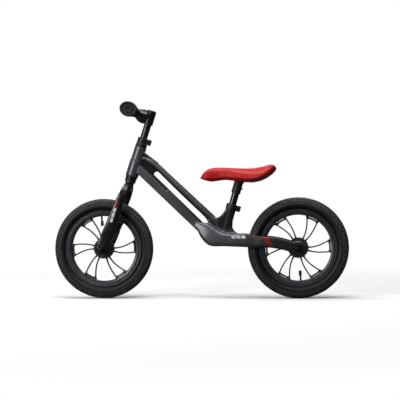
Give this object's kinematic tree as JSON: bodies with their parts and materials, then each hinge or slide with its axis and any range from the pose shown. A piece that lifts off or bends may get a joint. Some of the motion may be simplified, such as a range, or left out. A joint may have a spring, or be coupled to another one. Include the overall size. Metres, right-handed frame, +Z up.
{
  "type": "balance bike",
  "caption": "Child's balance bike: cast frame with two slanting beams, steering fork, height-adjustable bar and red saddle, and spoked wheels with air tyres.",
  "frame": {"origin": "on the ground, midway between the two wheels' contact points, in the bike's middle plane", "axes": "+X forwards, +Y to the rider's left, +Z up"},
  "size_m": [0.899, 0.3, 0.5901],
  "materials": {
    "frame_paint": "satin graphite paint on a magnesium casting",
    "fork_paint": "gloss black paint on steel",
    "tube_paint": "black powder coat",
    "rim_black": "moulded black nylon, satin",
    "tyre_rubber": "moulded tread rubber",
    "tube_rubber": "butyl rubber",
    "grip_rubber": "soft moulded rubber, matte",
    "black_plastic": "moulded, fine texture",
    "black_steel": "blackened steel",
    "bright_steel": "zinc-plated steel",
    "saddle_cover": "red polyurethane foam skin, satin gloss"
  },
  "bodies": {
    "frame": {"frame": "frame_paint", "headset_cup_lower": "black_steel", "headset_cup_upper": "black_steel", "headset_bearing_lower": "bright_steel", "headset_bearing_upper": "bright_steel", "seat_clamp": "black_plastic", "seat_clamp_bolt": "black_steel", "seat_clamp_nut": "black_steel", "rear_axle": "bright_steel", "rear_axle_spacer_left": "bright_steel", "rear_axle_washer_left": "bright_steel", "rear_axle_nut_left": "black_steel", "rear_axle_spacer_right": "bright_steel", "rear_axle_washer_right": "bright_steel", "rear_axle_nut_right": "black_steel"},
    "steering": {"fork": "fork_paint", "headset_crown_race": "black_steel", "headset_top_cap": "black_plastic", "stem_clamp": "black_plastic", "stem_clamp_bolt": "black_steel", "stem_clamp_nut": "black_steel", "front_axle": "bright_steel", "front_axle_spacer_left": "bright_steel", "front_axle_washer_left": "bright_steel", "front_axle_nut_left": "black_steel", "front_axle_spacer_right": "bright_steel", "front_axle_washer_right": "bright_steel", "front_axle_nut_right": "black_steel"},
    "handlebar": {"riser_tube": "tube_paint", "stem_head": "tube_paint", "handlebar_set_screw": "black_steel", "handlebar_tube": "tube_paint", "grip_left": "grip_rubber", "grip_right": "grip_rubber"},
    "front_wheel": {"front_tyre": "tyre_rubber", "front_inner_tube": "tube_rubber", "front_rim": "rim_black", "front_hub_bearing_left": "bright_steel", "front_hub_bearing_right": "bright_steel", "front_hub_sleeve": "bright_steel", "front_valve_stem": "bright_steel", "front_valve_cap": "black_plastic"},
    "rear_wheel": {"rear_tyre": "tyre_rubber", "rear_inner_tube": "tube_rubber", "rear_rim": "rim_black", "rear_hub_bearing_left": "bright_steel", "rear_hub_bearing_right": "bright_steel", "rear_hub_sleeve": "bright_steel", "rear_valve_stem": "bright_steel", "rear_valve_cap": "black_plastic"},
    "saddle": {"seat_post": "tube_paint", "saddle_base": "black_plastic", "saddle_socket_screw": "bright_steel", "saddle_cushion": "saddle_cover"}
  },
  "joints": [
    {"name": "steering", "type": "hinge", "parent": "frame", "child": "steering", "pos_m": [0.28273, 0, 0.14786], "axis": [-0.309, 0, 0.9511], "range_deg": [-75, 75]},
    {"name": "handlebar_height", "type": "slide", "parent": "steering", "child": "handlebar", "axis": [-0.309, 0, 0.9511], "range_m": [-0.04, 0.03]},
    {"name": "saddle_height", "type": "slide", "parent": "frame", "child": "saddle", "axis": [-0.2807, 0, 0.9598], "range_m": [-0.03, 0.04]},
    {"name": "front_wheel_spin", "type": "hinge", "parent": "steering", "child": "front_wheel", "pos_m": [0.297, 0, 0.1525], "axis": [0, 1, 0], "continuous": true},
    {"name": "rear_wheel_spin", "type": "hinge", "parent": "frame", "child": "rear_wheel", "pos_m": [-0.297, 0, 0.1525], "axis": [0, 1, 0], "continuous": true}
  ]
}
